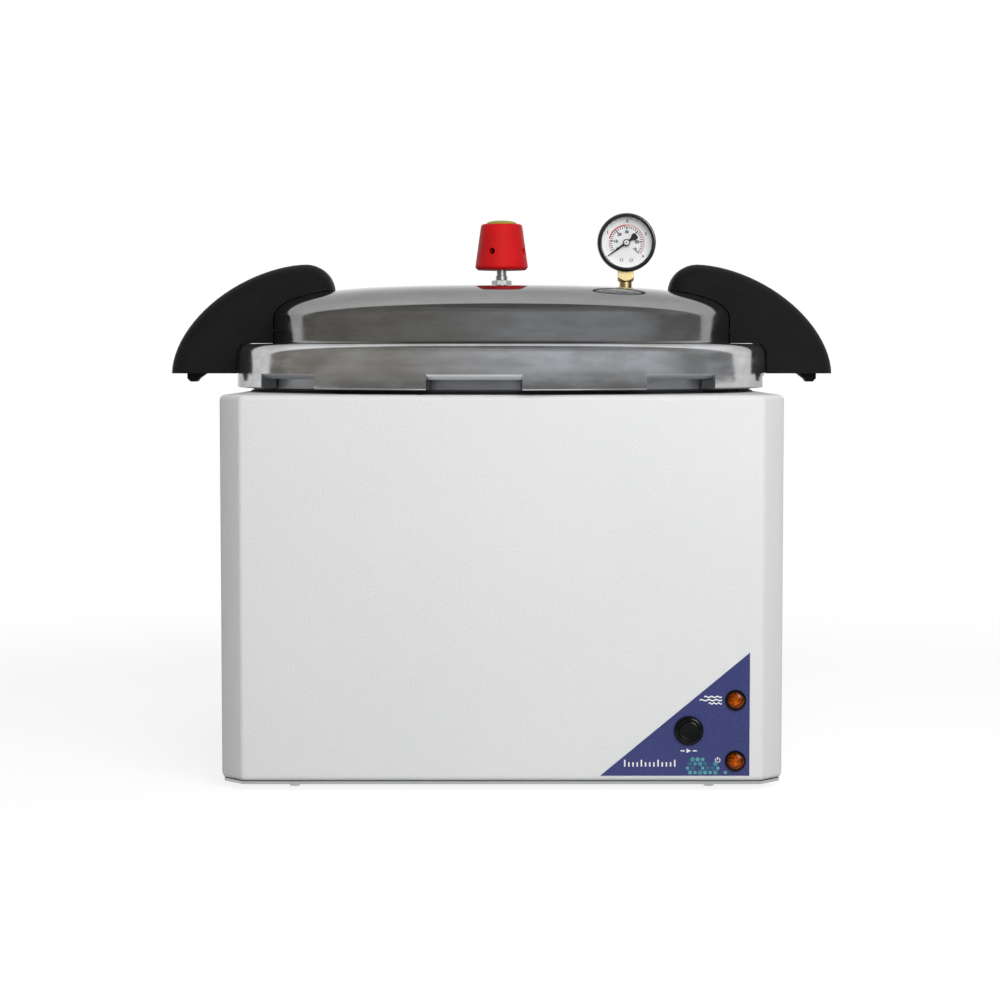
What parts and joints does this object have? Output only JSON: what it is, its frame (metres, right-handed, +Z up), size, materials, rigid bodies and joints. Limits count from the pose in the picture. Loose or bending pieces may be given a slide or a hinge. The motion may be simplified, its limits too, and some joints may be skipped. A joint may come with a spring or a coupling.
{
  "type": "benchtop autoclave",
  "caption": "Benchtop steam autoclave: square painted cabinet, domed metal bayonet lid with two black handles, weight valve, pressure gauge and a corner control panel.",
  "frame": {"origin": "on the floor under the axis of the pot, at the middle of the base", "axes": "+Z up, -Y out of the front panel, +X to the right of someone who faces the front"},
  "size_m": [0.4898, 0.392, 0.3983],
  "materials": {
    "cabinet_paint": "fine-textured light grey powder coat",
    "base_steel": "satin grey paint",
    "zinc_steel": "zinc-plated steel",
    "lid_aluminium": "polished with fine turning marks",
    "collar_aluminium": "satin cast and turned",
    "pot_steel": "satin stainless steel",
    "rubber_black": "matt moulded rubber",
    "gasket_silicone": "translucent white silicone",
    "handle_phenolic": "fine-grained black phenolic moulding",
    "weight_red": "semi-gloss red moulding",
    "cap_green": "semi-gloss yellow-green moulding",
    "core_steel": "turned stainless steel",
    "stem_chrome": "bright plated steel",
    "brass": "machined brass",
    "gauge_black": "satin black enamel",
    "glass": "clear flat glass",
    "dial_white": "white enamel with printed scale",
    "pointer_black": "matt black",
    "overlay_blue": "printed polyester film",
    "button_black": "glossy black moulding",
    "lamp_amber": "clear amber moulding",
    "insulation": "mineral wool",
    "board_green": "solder mask",
    "electric_black": "moulded black plastic",
    "terminal_white": "moulded plastic"
  },
  "bodies": {
    "cabinet": {"cabinet_shell": "cabinet_paint", "rear_panel": "cabinet_paint", "base_plate": "base_steel", "feet": "rubber_black", "base_screws": "zinc_steel", "rear_panel_screws": "zinc_steel", "chamber_pot": "pot_steel", "bayonet_collar": "collar_aluminium", "seat_ring": "rubber_black", "collar_screws": "zinc_steel", "chamber_trivet": "pot_steel", "heater_plate": "collar_aluminium", "heater_element": "core_steel", "tie_spacers": "zinc_steel", "heat_shield": "zinc_steel", "tie_rod": "zinc_steel", "tie_nut": "zinc_steel", "thermostat": "electric_black", "insulation_sleeve": "insulation", "control_board": "board_green", "board_standoffs": "zinc_steel", "power_relay": "electric_black", "transformer": "core_steel", "terminal_block": "terminal_white", "mains_inlet": "electric_black", "inlet_pins": "brass", "panel_overlay": "overlay_blue", "button_bezel": "button_black", "button_nut": "electric_black", "button_spring": "zinc_steel", "start_switch": "electric_black", "lamp_upper_body": "electric_black", "lamp_lower_body": "electric_black", "lamp_upper_lens": "lamp_amber", "lamp_lower_lens": "lamp_amber", "lamp_nuts": "electric_black"},
    "seal": {"lid_gasket": "gasket_silicone"},
    "lid": {"lid": "lid_aluminium", "handle_left": "handle_phenolic", "handle_right": "handle_phenolic", "handle_stops": "handle_phenolic", "handle_inserts": "brass", "handle_screws": "zinc_steel", "valve_stem": "stem_chrome", "valve_nuts": "stem_chrome", "gauge_socket": "brass", "gauge_lock_nut": "brass", "gauge_case": "gauge_black", "gauge_bezel": "gauge_black", "gauge_lens": "glass", "gauge_dial": "dial_white", "gauge_movement": "brass", "bourdon_tube": "brass", "safety_plug": "rubber_black"},
    "weight": {"weight_shell": "weight_red", "weight_core": "core_steel", "weight_cap": "cap_green"},
    "pointer": {"gauge_pointer": "pointer_black"},
    "button": {"button_cap": "button_black"}
  },
  "joints": [
    {"name": "lid_lift", "type": "slide", "parent": "cabinet", "child": "seal", "axis": [0, 0, 1], "range_m": [0, 0.3]},
    {"name": "lid_turn", "type": "hinge", "parent": "seal", "child": "lid", "pos_m": [0, 0, 0.289], "axis": [0, 0, -1], "range_deg": [0, 22.5]},
    {"name": "weight_lift", "type": "slide", "parent": "lid", "child": "weight", "axis": [0, 0, 1], "range_m": [0, 0.035]},
    {"name": "pointer_sweep", "type": "hinge", "parent": "lid", "child": "pointer", "pos_m": [0.0924, 0, 0.3766], "axis": [0, 1, 0], "range_deg": [0, 255], "stiffness_Nm_per_rad": 0.0002, "springref_deg": -34.38},
    {"name": "start_press", "type": "slide", "parent": "cabinet", "child": "button", "axis": [0, 1, 0], "range_m": [0, 0.003], "stiffness_N_per_m": 300, "deforming": ["button_spring"]}
  ]
}
